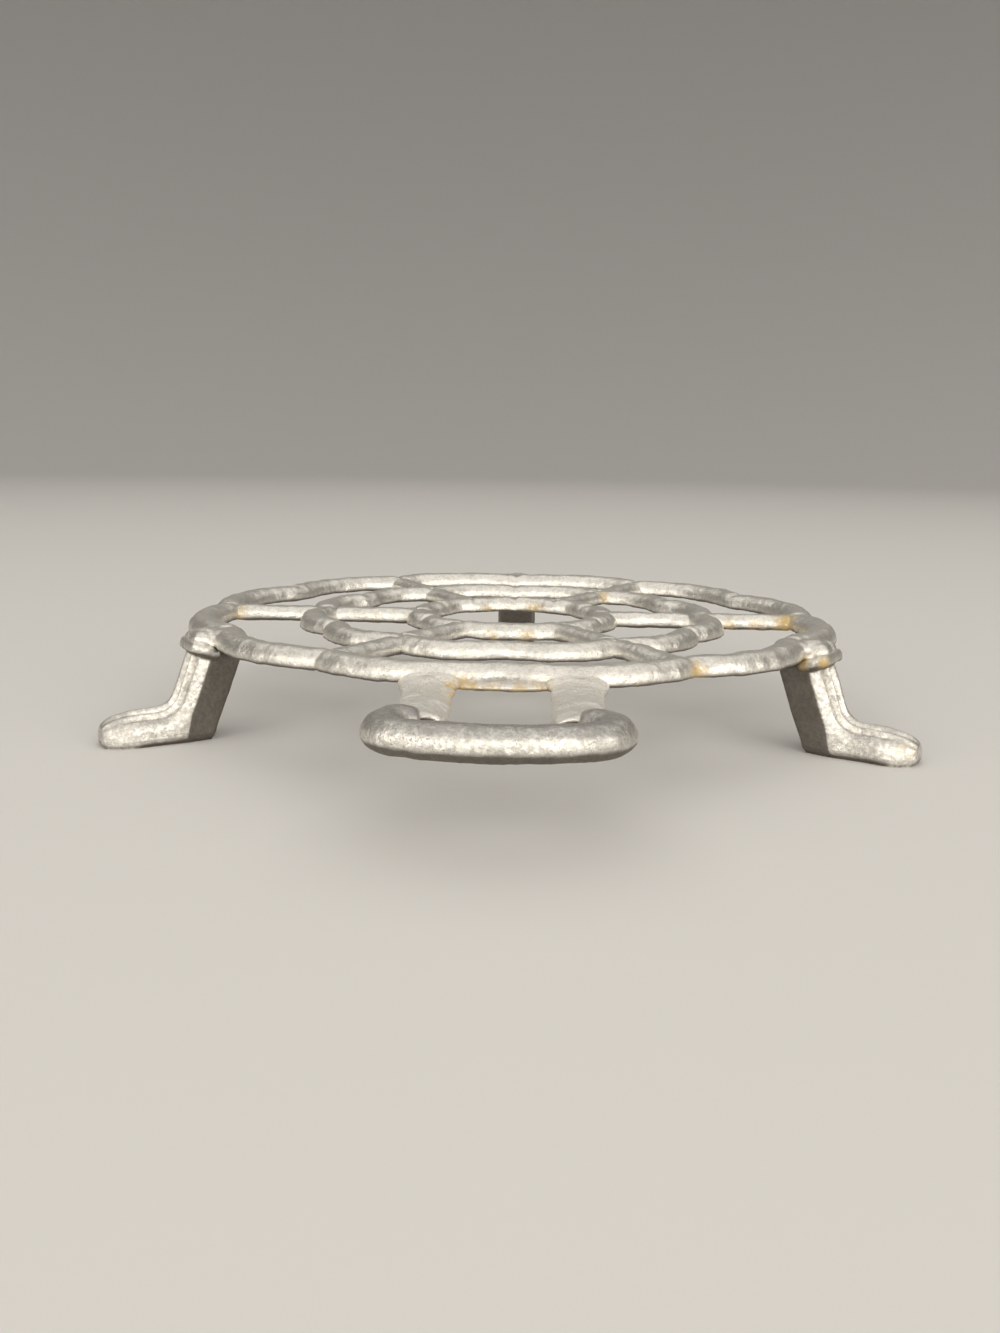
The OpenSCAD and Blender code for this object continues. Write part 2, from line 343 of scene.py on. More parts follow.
# Legs
# Half of the shin's outline, from the middle ridge to the back: sideways and outwards, in mm
SHIN_OUTLINE = (
    (0.0, 4.75),
    (0.65, 4.55),
    (1.0, 3.7),
    (1.3, 3.05),
    (1.65, 3.6),
    (2.0, 4.2),
    (2.45, 4.0),
    (2.75, 2.9),
    (3.05, 2.1),
    (3.4, 2.7),
    (3.75, 3.1),
    (4.5, 2.35),
    (5.35, 1.3),
    (5.62, 0.9),
    (5.58, 0.4),
    (5.2, -2.2),
    (4.75, -4.7),
    (4.5, -5.4),
    (3.9, -5.6),
    (2.0, -5.7),
    (0.0, -5.7),
)
# Distances down the shin from its seat, in mm
SHIN_STATIONS = (2.4, 3.1, 4.2, 7.0, 9.6, 11.9)
SHIN_TOP = 1.5 * MM
# The flat behind the arris runs on up to this far below the bars' widest line
FLAT_TOP = 0.2 * MM
ANKLE_PIVOT_OUT = 8.8 * MM
ARRIS_OUT = 0.9 * MM
ARRIS_SLACK = 0.1 * MM
SECTION_SLACK = 0.002 * MM
# How far the arris and the back move away from the ankle's pivot at each step of its turn
HEEL_SPREAD = (1.0, 1.03, 1.09, 1.13, 1.16, 1.05, 1.0, 1.0)
# Distance along the foot from the ankle, in mm, and height and width share of the outline there
FOOT_STATIONS = (
    (2.0, 1.0, 1.03),
    (4.2, 1.0, 1.06),
    (6.2, 0.99, 1.07),
    (8.0, 0.96, 1.05),
    (9.4, 0.91, 0.95),
    (10.6, 0.81, 0.8),
    (11.3, 0.66, 0.58),
    (11.65, 0.5, 0.4),
)
# The toe is softened from here outwards and upwards
FOOT_SMOOTH_FROM = 4.4 * MM
FOOT_SMOOTH_ABOVE = 1.2 * MM
FOOT_SMOOTH_ROUNDS = 7
# Half of the collar's outline and the radius of its corners, in mm
COLLAR_HALF = (3.2, 5.7)
COLLAR_CORNER = 2.2
COLLAR_OUT = 2.0 * MM
# Distance down from the seat, in mm, and size share of the collar there
COLLAR_STATIONS = (
    (2.6, 0.97),
    (2.35, 1.04),
    (1.7, 1.09),
    (0.9, 1.1),
    (0.35, 1.06),
    (0.0, 0.98),
    (-0.15, 0.8),
)


def leg_frame():
    """Place of the seat, and the directions outwards across the shin and down it, for a leg on +X."""
    seat = Vector((WEB.x + SEAT_R, WEB.y, SEAT_Z))
    out = Vector((math.cos(LEAN), 0, math.sin(LEAN)))
    down = Vector((math.sin(LEAN), 0, -math.cos(LEAN)))
    return seat, out, down


def draw_outline(name, points):
    """Draw a closed outline point by point, and leave it selected in edit mode."""
    deselect_all()
    bpy.ops.mesh.primitive_plane_add(size=MM, location=points[0])
    piece = name_new(name)
    edit(piece)
    bpy.ops.mesh.select_all(action="SELECT")
    bpy.ops.mesh.merge(type="CENTER")
    for before, point in zip(points, points[1:]):
        bpy.ops.mesh.extrude_vertices_move(TRANSFORM_OT_translate={"value": point - before})
    mesh = bmesh.from_edit_mesh(piece.data)
    ends = [vert for vert in mesh.verts if len(vert.link_edges) == 1]
    select_verts(lambda co: any((co - end.co).length < 1e-7 for end in ends))
    bpy.ops.mesh.edge_face_add()
    bpy.ops.mesh.select_all(action="SELECT")
    return piece


def collar(seat, out, down):
    """The moulded cup at the top of a leg, which holds the boss."""
    side = Vector((0, 1, 0))
    half_out, half_side = COLLAR_HALF
    points = []
    for quarter in range(4):
        corner_out = (half_out - COLLAR_CORNER) * (1 if quarter in (0, 3) else -1)
        corner_side = (half_side - COLLAR_CORNER) * (1 if quarter in (0, 1) else -1)
        for step in range(4):
            angle = (quarter + step / 3) * math.pi / 2
            place = out * (corner_out + COLLAR_CORNER * math.cos(angle))
            place = place + side * (corner_side + COLLAR_CORNER * math.sin(angle))
            points.append(seat + place * MM + out * COLLAR_OUT + down * COLLAR_STATIONS[0][0] * MM)
    band = draw_outline("collar_band", points)
    before, size = COLLAR_STATIONS[0]
    for along, share in COLLAR_STATIONS[1:]:
        extrude(down * (along - before) * MM)
        resize((share / size,) * 3, seat + out * COLLAR_OUT + down * along * MM)
        before, size = along, share
    cap_open_ends()
    leave_edit()
    make_faces_point_out(band)
    subdivide_surface(band, 2)
    return band


def leg(name):
    """A fluted shin that turns over the ankle into a shoe-shaped foot, on +X."""
    seat, out, down = leg_frame()
    side = Vector((0, 1, 0))
    half = [(across * MM, outward * MM) for across, outward in SHIN_OUTLINE]
    outline = half + [(-across, outward) for across, outward in reversed(half[1:-1])]
    top = seat + down * SHIN_TOP
    piece = draw_outline(name, [top + side * across + out * outward for across, outward in outline])
    before = SHIN_TOP
    for along in SHIN_STATIONS:
        extrude(down * (along * MM - before))
        before = along * MM
    pivot = seat + down * before + out * ANKLE_PIVOT_OUT
    step = (math.pi / 2 - LEAN) / len(HEEL_SPREAD)
    arris = ANKLE_PIVOT_OUT - ARRIS_OUT - ARRIS_SLACK
    for i, spread in enumerate(HEEL_SPREAD):
        spin(pivot, -step, 1, axis=(0, 1, 0))
        angle = math.pi + LEAN + step * (i + 1)
        ray = Vector((math.cos(angle), 0, math.sin(angle)))
        square = Vector((-math.sin(angle), 0, math.cos(angle)))

        def on_section(co):
            return abs((co - pivot).dot(square)) < SECTION_SLACK and (co - pivot).dot(ray) > 0

        select_verts(lambda co: on_section(co) and (co - pivot).dot(ray) > arris)
        resize((spread, 1, spread), pivot)
        arris = arris * spread
        select_verts(on_section)
    ankle = Vector((pivot.x, WEB.y, 0))
    before, tall, wide = 0, 1, 1
    for along, height, width in FOOT_STATIONS:
        extrude((along * MM - before, 0, 0))
        resize((1, width / wide, height / tall), ankle + Vector((along * MM, 0, 0)))
        before, tall, wide = along * MM, height, width
    cap_open_ends()
    for _, outward in half:
        if outward < ARRIS_OUT - ARRIS_SLACK:
            line = top + out * outward

            def on_line(co):
                return abs((co - line).dot(out)) < TOUCH and abs((co - line).dot(down)) < TOUCH

            select_verts(on_line)
            bpy.ops.transform.translate(value=down * ((line.z - WEB.z + FLAT_TOP) / math.cos(LEAN)))
    select_verts(lambda co: co.x > ankle.x + FOOT_SMOOTH_FROM and co.z > FOOT_SMOOTH_ABOVE)
    bpy.ops.mesh.vertices_smooth(factor=0.5, repeat=FOOT_SMOOTH_ROUNDS)
    leave_edit()
    make_faces_point_out(piece)
    subdivide_surface(piece, 2)
    return join(piece, [collar(seat, out, down)])


# The soft lower edge of a foot: below each height the wall moves in by this much, in mm
SOLE_ROUNDING = ((1.5, 0.06), (1.1, 0.1), (0.75, 0.15), (0.45, 0.2), (0.2, 0.25))


def cut_soles(piece):
    """Cut a leg flat where it stands on the floor, and round its lower edge."""
    edit(piece)
    bpy.ops.mesh.select_all(action="SELECT")
    bpy.ops.mesh.bisect(plane_co=(0, 0, 0), plane_no=(0, 0, 1), clear_inner=True, threshold=1e-6)
    for height, inward in SOLE_ROUNDING:
        select_verts(lambda co: co.z < height * MM)
        bpy.ops.transform.shrink_fatten(value=-inward * MM)
    bpy.ops.mesh.select_all(action="SELECT")
    bpy.ops.mesh.region_to_loop()
    resize((1, 1, 0), (0, 0, 0))
    bpy.ops.mesh.edge_face_add()
    select_verts(lambda co: co.z < 0)
    resize((1, 1, 0), (0, 0, 0))
    leave_edit()


# Handle
LOOP_W = 7.2 * MM
LOOP_CROWN = 3.5 * MM
LOOP_DEPTH = 2.3 * MM
LOOP_Z = WEB.z - 2 * MM
LOOP_FRONT_Y = WEB.y - 108.2 * MM
LOOP_BACK_Y = WEB.y - 94.6 * MM
LOOP_HALF_W = 18.2 * MM
LOOP_END_R = 5.8 * MM
LOOP_SHOULDER = 1.06
LOOP_CREASE = 0.7
LOOP_STEPS = 8
LOOP_TIP_X = LOOP_HALF_W - LOOP_END_R
# How the loop's ends fall towards their tips: reach from the middle and height share within it
LOOP_TIP_FALL = ((LOOP_TIP_X + 2.6 * MM, 0.9), (LOOP_TIP_X + 0.5 * MM, 0.74))


def handle_loop():
    """A half-round bar bent into a bowed loop, with the two tips left apart at the back."""
    end_y = LOOP_BACK_Y - LOOP_END_R
    rise = end_y - LOOP_FRONT_Y - LOOP_END_R
    bow = 2 * math.atan2(rise, LOOP_TIP_X)
    bow_r = LOOP_TIP_X / math.sin(bow) + LOOP_END_R
    bow_centre = Vector((0, LOOP_FRONT_Y + bow_r, LOOP_Z))
    tip = Vector((LOOP_TIP_X, LOOP_BACK_Y, LOOP_Z))
    piece = bar_outline("loop_casting", tip, math.pi / 2, LOOP_W, LOOP_CROWN, LOOP_DEPTH, LOOP_SHOULDER)
    spin(Vector((LOOP_TIP_X, end_y, LOOP_Z)), -(math.pi - bow), LOOP_STEPS)
    spin(bow_centre, -2 * bow, LOOP_STEPS)
    spin(Vector((-LOOP_TIP_X, end_y, LOOP_Z)), -(math.pi - bow), LOOP_STEPS)
    crease_edges(lambda co: abs(co.z - LOOP_Z) < TOUCH, LOOP_CREASE)
    cap_open_ends()
    for reach, share in LOOP_TIP_FALL:
        select_verts(lambda co: co.y > LOOP_BACK_Y - LOOP_W and abs(co.x) < reach)
        resize((1, 1, share), (0, 0, LOOP_Z))
    leave_edit()
    make_faces_point_out(piece)
    subdivide_surface(piece, 2)
    return piece


LUG_X = 13 * MM
LUG_DEPTH = 1.5 * MM
LUG_SHOULDER = 1.1
LUG_SLOPE_FROM = 74 * MM
# Distance from the middle of the grille, and width and crown of a lug there, in mm
LUG_STATIONS = (
    (70.5, 11.0, 2.1),
    (72.5, 11.4, 2.1),
    (73.6, 11.3, 1.95),
    (74.4, 11.0, 1.8),
    (75.3, 10.6, 1.65),
    (76.5, 10.0, 1.52),
    (78.5, 9.4, 1.46),
    (81.0, 9.0, 1.5),
    (84.5, 8.8, 1.65),
    (88.5, 8.9, 1.8),
    (91.5, 9.2, 1.95),
    (93.5, 9.2, 2.05),
    (95.0, 8.8, 2.05),
    (95.9, 7.8, 1.85),
)
# The root of a lug is turned a little, as far as this from the middle of the grille
LUG_YAW_TO = 77 * MM
LUG_YAW = math.radians(10)
# The dark eye that the casting left low in the end of each lug
EYE_SHARE = (0.3, 1, 0.34)
EYE_MOVE = Vector((-1.7, 0, 0.75)) * MM
EYE_DEPTH = 1.3 * MM
EYE_RING = 0.3 * MM
EYE_LIP = 0.12 * MM


def handle_lug():
    """A bumpy sloping bar on the right that spreads out of the rim and ends in front in a small eye."""
    slope = (WEB.z - LOOP_Z) / (WEB.y - LUG_SLOPE_FROM - LOOP_BACK_Y)
    before, width, crown = LUG_STATIONS[0]
    start = Vector((LUG_X, WEB.y - before * MM, WEB.z))
    piece = bar_outline("lug", start, 0, width * MM, crown * MM, LUG_DEPTH, LUG_SHOULDER)
    level = 0
    for along, wide, tall in LUG_STATIONS[1:]:
        drop = max(0, along * MM - LUG_SLOPE_FROM) * slope
        extrude((0, (before - along) * MM, level - drop))
        resize((wide / width, 1, tall / crown), (LUG_X, 0, WEB.z - drop))
        before, width, crown, level = along, wide, tall, drop
    cap_open_ends()
    front = WEB.y - LUG_STATIONS[-1][0] * MM
    select_verts(lambda co: abs(co.y - front) < TOUCH)
    bpy.ops.mesh.inset(thickness=EYE_RING)
    bpy.ops.mesh.inset(thickness=EYE_RING)
    resize(EYE_SHARE, (LUG_X, front, WEB.z - level))
    bpy.ops.transform.translate(value=EYE_MOVE)
    bpy.ops.mesh.inset(thickness=EYE_LIP)
    bpy.ops.transform.translate(value=(0, EYE_DEPTH, 0))
    select_verts(lambda co: co.y > WEB.y - LUG_YAW_TO)
    root = (LUG_X, WEB.y - SEAT_R, WEB.z)
    bpy.ops.transform.rotate(value=-LUG_YAW, orient_axis="Z", center_override=root)
    leave_edit()
    make_faces_point_out(piece)
    subdivide_surface(piece, 3)
    return piece


# The uneven skin that a sand mould leaves
def noise(name, size, depth):
    texture = bpy.data.textures.new(name, "CLOUDS")
    texture.noise_scale = size
    texture.noise_depth = depth
    return texture


CASTING_LUMPS = noise("casting_lumps", 6 * MM, 1)
CASTING_DENTS = noise("casting_dents", 1.5 * MM, 2)
FILED_FACETS = bpy.data.textures.new("filed_facets", "VORONOI")
FILED_FACETS.noise_scale = 4.5 * MM
SKIN_SMOOTHING = 3
# The grey of a texture that leaves the skin where it is
SKIN_LEVEL = 0.54
# Grid of the fused skin and heights of its lumps, facets and dents, in mm, by the start of the node's name
SKINS = {
    "leg": (0.24, (0.25, 0.08, 0.1)),
    "handle_loop": (0.27, (0.3, 0.15, 0.16)),
    "handle_lug": (0.2, (0.4, 0.35, 0.24)),
    "outer_rim": (0.37, (0.35, 0.3, 0.18)),
}
BAR_SKIN = (0.32, (0.35, 0.3, 0.18))


def pick(table, node, otherwise):
    """The entry of a table whose key starts a node's name."""
    return next((entry for start, entry in table.items() if node.startswith(start)), otherwise)


def fuse_skin(piece, grid):
    """Fuse a casting's members into one even skin, with soft corners where they meet."""
    apply_modifier(piece, "REMESH", mode="VOXEL", voxel_size=grid)
    apply_modifier(piece, "SMOOTH", factor=0.5, iterations=SKIN_SMOOTHING)


def roughen(piece, lumps, facets, dents):
    """Swell, flatten and dent a casting's skin, by heights in mm."""
    for texture, height in ((CASTING_LUMPS, lumps), (FILED_FACETS, facets), (CASTING_DENTS, dents)):
        apply_modifier(
            piece,
            "DISPLACE",
            texture=texture,
            texture_coords="LOCAL",
            strength=height * MM,
            mid_level=SKIN_LEVEL,
        )
    make_active(piece)
    bpy.ops.object.shade_smooth()


# Build the pieces, each in the place of its own node
pieces = {"outer_rim": rim_with_bosses()}
for ring, sizes in (("middle", MIDDLE), ("inner", INNER)):
    pieces[f"{ring}_ring"] = lobed_ring(f"{ring}_casting", **sizes)
    subdivide_surface(pieces[f"{ring}_ring"], 2)
for kind, (start, end) in SPOKE_ENDS.items():
    model = spoke(f"{kind}_spoke_model", start, end)
    for side, angle in SPOKE_ANGLES.items():
        pieces[f"{kind}_spoke_{side}"] = turned_copy(model, f"{kind}_bar_{side}", angle)
    bpy.data.objects.remove(model)
leg_model = leg("leg_model")
for side, angle in LEG_ANGLES.items():
    pieces[f"leg_{side}"] = turned_copy(leg_model, f"foot_and_shin_{side}", angle)
bpy.data.objects.remove(leg_model)
pieces["handle_loop"] = handle_loop()
lug_model = handle_lug()
pieces["handle_lug_right"] = turned_copy(lug_model, "lug_casting_right", 0)
pieces["handle_lug_left"] = turned_copy(lug_model, "lug_casting_left", 0)
pieces["handle_lug_left"].data.transform(Matrix.Scale(-1, 4, (1, 0, 0)))
make_faces_point_out(pieces["handle_lug_left"])
bpy.data.objects.remove(lug_model)

for node, piece in pieces.items():
    grid, heights = pick(SKINS, node, BAR_SKIN)
    fuse_skin(piece, grid * MM)
    roughen(piece, *heights)
    if node.startswith("leg"):
        cut_soles(piece)
    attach(piece, "root")
    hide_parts(node)

# Where stove stains, soiling, and painted shade in hollows, on undersides, on the legs' inner faces and on
# the loop's top show, kept as values on the surface
SEAM_REACH = 2.2 * MM
LUG_SEAM_SHARE = 0.3
# More than the number of seam cells along any side of the part
CELL_SPAN = 4096
# A hollow counts from the first depth, and fully at the depth given for the kind of piece
HOLLOW_ROUNDS = 12
HOLLOW_FROM = 0.02 * MM
HOLLOW_FULL = {"leg": 0.1 * MM}
BAR_HOLLOW_FULL = 0.17 * MM
# How far a face looks downwards where the painted shade below begins, or upwards where the loop's painted
# top shade begins, and the span of its fading
SHADE_BELOW_ROUNDS = 6
SHADE_BELOW_FROM = 0.12
SHADE_BELOW_SPAN = 0.25
TOP_SHADE_FROM = 0.45
TOP_SHADE_SPAN = 0.3
ARRIS_FADE = 0.3 * MM
COLLAR_INSIDE = 5.8 * MM
COLLAR_FADE = 0.15 * MM
# Angle round the ankle over which the painted shade on a leg's inner face ends
FOOT_FADE = 0.1
# A stain is full to a quarter of its reach, and fades out a quarter past it
STAIN_CORE = 1.25
# Residue baked on by the stove: place from the middle of the grille and reach, in mm, and strength
STAINS = (
    (65.0, -1.5, 1.0, 4.2, 1.0),
    (58.0, -2.6, 0.2, 4.0, 0.5),
    (51.5, -2.2, 0.6, 2.6, 0.7),
    (-65.4, -1.5, 0.8, 3.4, 0.8),
    (-33.0, -2.0, 0.4, 3.0, 0.45),
    (-24.0, -3.0, 0.6, 2.6, 0.5),
    (24.8, -2.0, 0.8, 2.4, 0.6),
    (23.5, 36.0, 1.0, 3.0, 0.9),
    (35.8, -62.0, 0.8, 3.4, 0.75),
    (25.0, -41.5, 0.6, 2.8, 0.7),
    (-4.0, -25.0, 0.2, 3.4, 0.5),
    (4.0, -25.0, 0.2, 4.0, 0.6),
    (12.0, -23.0, 0.2, 3.0, 0.45),
    (5.0, 17.5, 0.2, 4.0, 0.7),
    (-6.5, 17.5, 0.2, 3.0, 0.6),
    (-6.5, -75.0, -0.2, 4.4, 0.72),
    (-2.0, -75.2, -0.4, 3.4, 0.6),
    (3.0, -75.2, -0.4, 3.6, 0.6),
    (6.5, -75.0, -0.2, 4.2, 0.58),
    (-8.9, -77.0, 0.4, 3.0, 0.78),
    (-8.8, -81.0, 0.0, 2.8, 0.72),
    (-8.7, -85.5, -0.6, 2.6, 0.62),
    (-8.6, -90.0, -1.2, 2.4, 0.4),
    (8.7, -76.0, 0.4, 2.6, 0.5),
    (26.0, -72.0, 0.6, 4.0, 0.35),
    (60.0, -41.5, -0.6, 2.4, 0.8),
    (64.0, -43.0, -0.4, 2.4, 0.8),
    (67.5, -42.5, -0.2, 2.2, 0.6),
    (-73.0, -47.5, -12.0, 2.6, 0.8),
    (-70.0, -46.5, -13.0, 2.6, 0.5),
    (80.0, -50.0, -15.5, 4.0, 0.45),
)


def surface_arrays(piece):
    mesh = piece.data
    places = np.empty(len(mesh.vertices) * 3)
    normals = np.empty(len(mesh.vertices) * 3)
    edges = np.empty(len(mesh.edges) * 2, dtype=int)
    mesh.vertices.foreach_get("co", places)
    mesh.vertices.foreach_get("normal", normals)
    mesh.edges.foreach_get("vertices", edges)
    return places.reshape(-1, 3), normals.reshape(-1, 3), edges.reshape(-1, 2)


def neighbour_mean(values, edges):
    """The mean of each vertex's neighbours."""
    starts = np.concatenate((edges[:, 0], edges[:, 1]))
    ends = np.concatenate((edges[:, 1], edges[:, 0]))
    share = np.maximum(np.bincount(starts, minlength=len(values)), 1)
    return np.bincount(starts, weights=values[ends], minlength=len(values)) / share


def hollows(piece, full):
    """How far each vertex lies below the smoothed surface, from 0 to 1 at the depth called full."""
    places, normals, edges = surface_arrays(piece)
    smooth = places.copy()
    for _ in range(HOLLOW_ROUNDS):
        smooth = np.stack([neighbour_mean(smooth[:, axis], edges) for axis in range(3)], axis=1)
    depth = np.einsum("ij,ij->i", smooth - places, normals)
    return np.clip((depth - HOLLOW_FROM) / full, 0, 1)


def cell_number(cells):
    """One number for each cell of a coarse grid."""
    return (cells[:, 0] * CELL_SPAN + cells[:, 1]) * CELL_SPAN + cells[:, 2]


def seams(pieces):
    """How near each vertex lies to another piece, from 0 to 1."""
    trees = {}
    arrays = {node: surface_arrays(piece)[0] for node, piece in pieces.items()}
    for node, places in arrays.items():
        tree = KDTree(len(places))
        for index, place in enumerate(places):
            tree.insert(place, index)
        tree.balance()
        trees[node] = tree
    steps = np.stack(np.meshgrid((-1, 0, 1), (-1, 0, 1), (-1, 0, 1)), axis=-1).reshape(-1, 3)
    cells = {node: np.floor(places / SEAM_REACH).astype(int) for node, places in arrays.items()}
    spread = {}
    for node, cell in cells.items():
        around_cells = np.unique(cell, axis=0)[:, None, :] + steps
        spread[node] = np.unique(cell_number(around_cells.reshape(-1, 3)))
    near = {node: np.zeros(len(places)) for node, places in arrays.items()}
    for node, places in arrays.items():
        numbers = cell_number(cells[node])
        for other, tree in trees.items():
            if other == node:
                continue
            share = LUG_SEAM_SHARE if "handle_lug" in node + other else 1
            for index in np.nonzero(np.isin(numbers, spread[other]))[0]:
                gap = tree.find(places[index])[2]
                near[node][index] = max(near[node][index], share * (1 - gap / SEAM_REACH))
    return near


def stains(piece):
    places = surface_arrays(piece)[0]
    amber = np.zeros(len(places))
    for x, y, z, reach, strength in STAINS:
        gaps = np.linalg.norm(places - np.array((x * MM, WEB.y + y * MM, WEB.z + z * MM)), axis=1)
        amber = np.maximum(amber, strength * np.clip(STAIN_CORE - gaps / (reach * MM), 0, 1))
    return amber


def painted_shade_below_and_inside(node, piece):
    """Painted shade on undersides and on the inner faces of the legs, which face away from the lamps."""
    places, normals, edges = surface_arrays(piece)
    downward = -normals[:, 2]
    for _ in range(SHADE_BELOW_ROUNDS):
        downward = neighbour_mean(downward, edges)
    shade_below_and_inside = np.clip((downward - SHADE_BELOW_FROM) / SHADE_BELOW_SPAN, 0, 1)
    if node.startswith("leg"):
        # The inner faces of the legs get the painted shade too
        shade_below_and_inside = np.maximum(shade_below_and_inside, behind_arris(places, LEG_ANGLES[node[4:]]))
    return shade_below_and_inside


def painted_loop_top_shade(node, piece):
    """Painted shade on the upper side of the handle loop, greyer than its front."""
    upward = surface_arrays(piece)[1][:, 2]
    return np.clip((upward - TOP_SHADE_FROM) / TOP_SHADE_SPAN, 0, 1) * (node == "handle_loop")


def behind_arris(places, degrees):
    """1 behind the arris that runs down each side of a shin to the heel, 0 in front of it."""
    turn = np.array(Matrix.Rotation(math.radians(-degrees), 3, "Z"))
    seat, out, down = (np.array(part) for part in leg_frame())
    local = (places - np.array(WEB)) @ turn.T + np.array(WEB)
    outward = (local - seat) @ out
    along = (local - seat) @ down
    ankle = SHIN_STATIONS[-1] * MM
    pivot = seat + down * ankle + out * ANKLE_PIVOT_OUT
    reach = np.linalg.norm((local - pivot)[:, (0, 2)], axis=1)
    turned = np.arctan2((local - pivot) @ down, -((local - pivot) @ out))
    steps = (math.pi / 2 - LEAN) / len(HEEL_SPREAD) * np.arange(len(HEEL_SPREAD) + 1)
    arris = (ANKLE_PIVOT_OUT - ARRIS_OUT) * np.cumprod((1,) + HEEL_SPREAD)
    behind = np.where(along < ankle, ARRIS_OUT - outward, reach - np.interp(turned, steps, arris))
    before_foot = np.clip((math.pi / 2 - LEAN - turned) / FOOT_FADE, 0, 1)
    inside_collar = np.clip((COLLAR_INSIDE - np.abs(local[:, 1] - WEB.y)) / COLLAR_FADE, 0, 1)
    return np.clip(0.5 + behind / ARRIS_FADE, 0, 1) * before_foot * inside_collar


def keep_values(piece, name, values):
    attribute = piece.data.attributes.new(name, "FLOAT", "POINT")
    attribute.data.foreach_set("value", values.astype(np.float32))


near = seams(pieces)
for node, piece in pieces.items():
    # Hollows get soiling and painted shade
    keep_values(piece, "hollow", hollows(piece, pick(HOLLOW_FULL, node, BAR_HOLLOW_FULL)))
    keep_values(piece, "seam", near[node])
    keep_values(piece, "stain", stains(piece))
    # Painted shade on undersides, the legs' inner faces and the handle loop's top
    keep_values(piece, "shade_below_and_inside", painted_shade_below_and_inside(node, piece))
    keep_values(piece, "top_shade", painted_loop_top_shade(node, piece))


# Finishes
def add_node(tree, kind, inputs, **settings):
    """Add a shader node; inputs are plain values or the sockets that feed them."""
    made = tree.nodes.new(kind)
    for key, value in settings.items():
        setattr(made, key, value)
    for key, value in inputs.items():
        if isinstance(value, bpy.types.NodeSocket):
            tree.links.new(value, made.inputs[key])
        else:
            made.inputs[key].default_value = value
    return made


def calculate(tree, operation, first, second, clamp=False):
    inputs = {0: first, 1: second}
    return add_node(tree, "ShaderNodeMath", inputs, operation=operation, use_clamp=clamp).outputs[0]


def weighted(tree, *terms):
    """The sum of values, each times its own weight."""
    parts = [calculate(tree, "MULTIPLY", value, weight) for value, weight in terms]
    total = parts[0]
    for part in parts[1:]:
        total = calculate(tree, "ADD", total, part)
    return total


def remap(tree, value, low, high):
    inputs = {"Value": value, "From Min": low, "From Max": high}
    return add_node(tree, "ShaderNodeMapRange", inputs, clamp=True).outputs["Result"]


def blend(tree, share, first, second):
    made = add_node(tree, "ShaderNodeMix", {0: share, 6: first, 7: second}, data_type="RGBA")
    return made.outputs[2]


def grain(tree, size, detail, roughness=0.55):
    """Noise whose spots are about a size in metres, on the object's own coordinates."""
    place = add_node(tree, "ShaderNodeTexCoord", {}).outputs["Object"]
    inputs = {"Vector": place, "Scale": 1 / size, "Detail": detail, "Roughness": roughness}
    return add_node(tree, "ShaderNodeTexNoise", inputs).outputs["Fac"]


def new_group(name, inputs, outputs):
    group = bpy.data.node_groups.new(name, "ShaderNodeTree")
    for label, value in inputs.items():
        socket = group.interface.new_socket(label, in_out="INPUT", socket_type="NodeSocketFloat")
        socket.default_value = value
    for label in outputs:
        group.interface.new_socket(label, in_out="OUTPUT", socket_type="NodeSocketFloat")
    return group, group.nodes.new("NodeGroupInput").outputs, group.nodes.new("NodeGroupOutput").inputs


# Sizes of the marks on the skin
PIT_SIZE = 0.34 * MM
PIT_PATCH_SIZE = 4 * MM
CLOUD_SIZE = 5.5 * MM
STREAK_SIZE = 0.95 * MM
SAND_SIZE = 0.75 * MM
SAND_HEIGHT = 0.25 * MM
RAGGED_SIZE = 1.1 * MM
RESIDUE_SPECK_SIZE = 0.5 * MM
# Pits show a little everywhere, and more in patches
LEAST_PITS = 0.18


def casting_skin_group():
    """Pits, cloudy tarnish and the fine sandy height of a cast skin."""
    group, given, put = new_group("casting_skin", {"Pit Share": 0.5}, ("Pits", "Tarnish", "Height"))
    specks = remap(group, grain(group, PIT_SIZE, 3, 0.6), 0.54, 0.7)
    patches = remap(group, grain(group, PIT_PATCH_SIZE, 3), 0.42, 0.66)
    shown = calculate(group, "ADD", calculate(group, "MULTIPLY", patches, given["Pit Share"]), LEAST_PITS)
    pits = calculate(group, "MULTIPLY", specks, shown)
    cloud = remap(group, grain(group, CLOUD_SIZE, 5, 0.6), 0.4, 0.62)
    streaks = remap(group, grain(group, STREAK_SIZE, 4, 0.65), 0.4, 0.62)
    tarnish = weighted(group, (cloud, 0.4), (streaks, 0.6))
    sand = grain(group, SAND_SIZE, 5, 0.62)
    height = calculate(group, "SUBTRACT", sand, calculate(group, "MULTIPLY", pits, 0.3))
    group.links.new(pits, put["Pits"])
    group.links.new(tarnish, put["Tarnish"])
    group.links.new(height, put["Height"])
    return group


